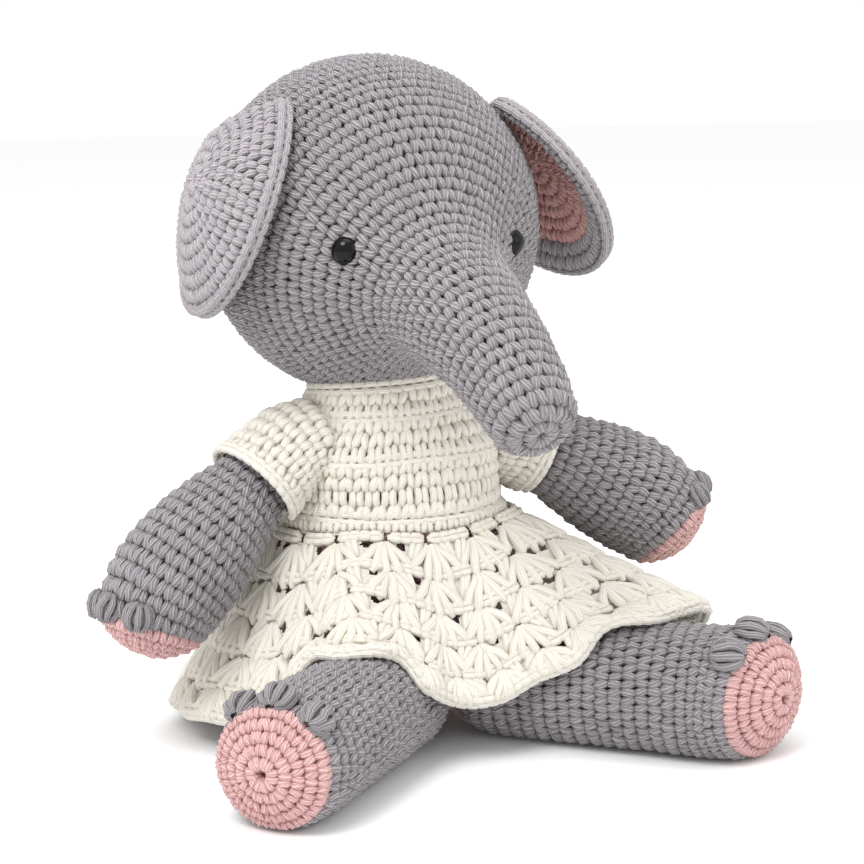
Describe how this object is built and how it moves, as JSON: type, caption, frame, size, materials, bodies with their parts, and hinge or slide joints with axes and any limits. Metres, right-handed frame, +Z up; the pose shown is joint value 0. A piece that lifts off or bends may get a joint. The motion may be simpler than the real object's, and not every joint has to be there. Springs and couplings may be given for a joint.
{
  "type": "stuffed elephant",
  "caption": "Sitting crocheted toy elephant with floppy ears, a long trunk, stuffed arms and legs, and a lace dress.",
  "frame": {"origin": "on the floor under the middle of the body, where the seat rests", "axes": "+Z up, -Y the way the elephant faces, +X towards its left hand"},
  "size_m": [0.2394, 0.204, 0.2354],
  "materials": {
    "grey_yarn": "matte",
    "pink_yarn": "matte",
    "dusty_pink_yarn": "matte",
    "white_yarn": "matte",
    "fibre_fill": "matte",
    "black_plastic": "gloss",
    "nylon_washer": "satin"
  },
  "bodies": {
    "torso": {"body_cover": "pink_yarn", "body_stuffing": "fibre_fill", "dress_bodice": "white_yarn", "dress_skirt": "white_yarn", "dress_hem": "white_yarn"},
    "head": {"head_cover": "grey_yarn", "head_stuffing": "fibre_fill", "eye_right": "black_plastic", "eye_left": "black_plastic", "eye_washer_right": "nylon_washer", "eye_washer_left": "nylon_washer"},
    "trunk": {"trunk_cover": "grey_yarn", "trunk_stuffing": "fibre_fill"},
    "ear_right": {"ear_back_right": "grey_yarn", "ear_rim_right": "grey_yarn", "ear_lining_right": "dusty_pink_yarn"},
    "arm_right": {"arm_right_cover": "grey_yarn", "arm_right_stuffing": "fibre_fill", "palm_right": "pink_yarn", "finger_right_1": "grey_yarn", "finger_right_2": "grey_yarn", "finger_right_3": "grey_yarn"},
    "leg_right": {"leg_right_cover": "grey_yarn", "leg_right_stuffing": "fibre_fill", "foot_sole_right": "pink_yarn", "toe_right_1": "grey_yarn", "toe_right_2": "grey_yarn", "toe_right_3": "grey_yarn"},
    "ear_left": {"ear_back_left": "grey_yarn", "ear_rim_left": "grey_yarn", "ear_lining_left": "dusty_pink_yarn"},
    "arm_left": {"arm_left_cover": "grey_yarn", "arm_left_stuffing": "fibre_fill", "palm_left": "pink_yarn", "finger_left_1": "grey_yarn", "finger_left_2": "grey_yarn", "finger_left_3": "grey_yarn"},
    "leg_left": {"leg_left_cover": "grey_yarn", "leg_left_stuffing": "fibre_fill", "foot_sole_left": "pink_yarn", "toe_left_1": "grey_yarn", "toe_left_2": "grey_yarn", "toe_left_3": "grey_yarn"}
  },
  "joints": [
    {"name": "neck_turn", "type": "hinge", "parent": "torso", "child": "head", "pos_m": [-0.0035, 0.008, 0.12], "axis": [0, 0, 1], "range_deg": [-25, 25]},
    {"name": "trunk_bend", "type": "hinge", "parent": "head", "child": "trunk", "pos_m": [-0.0035, -0.05724, 0.15882], "axis": [1, 0, 0], "range_deg": [-12, 14]},
    {"name": "ear_flap_right", "type": "hinge", "parent": "head", "child": "ear_right", "pos_m": [-0.05323, 0.01438, 0.21193], "axis": [-0.1682, 0.8943, -0.4146], "range_deg": [-3, 30]},
    {"name": "ear_flap_left", "type": "hinge", "parent": "head", "child": "ear_left", "pos_m": [0.04623, 0.01438, 0.21193], "axis": [-0.1682, -0.8943, 0.4146], "range_deg": [-18, 16]},
    {"name": "shoulder_swing_right", "type": "hinge", "parent": "torso", "child": "arm_right", "pos_m": [-0.0405, -0.003, 0.0995], "axis": [-1, 0, 0], "range_deg": [-17, 9]},
    {"name": "shoulder_swing_left", "type": "hinge", "parent": "torso", "child": "arm_left", "pos_m": [0.0405, -0.005, 0.101], "axis": [-1, 0, 0], "range_deg": [-20, 3]},
    {"name": "hip_swing_right", "type": "hinge", "parent": "torso", "child": "leg_right", "pos_m": [-0.018, -0.043, 0.0186], "axis": [0.6614, -0.75, 0], "range_deg": [0, 60]},
    {"name": "hip_swing_left", "type": "hinge", "parent": "torso", "child": "leg_left", "pos_m": [0.027, -0.043, 0.0186], "axis": [0.6891, 0.7246, 0], "range_deg": [0, 60]}
  ]
}
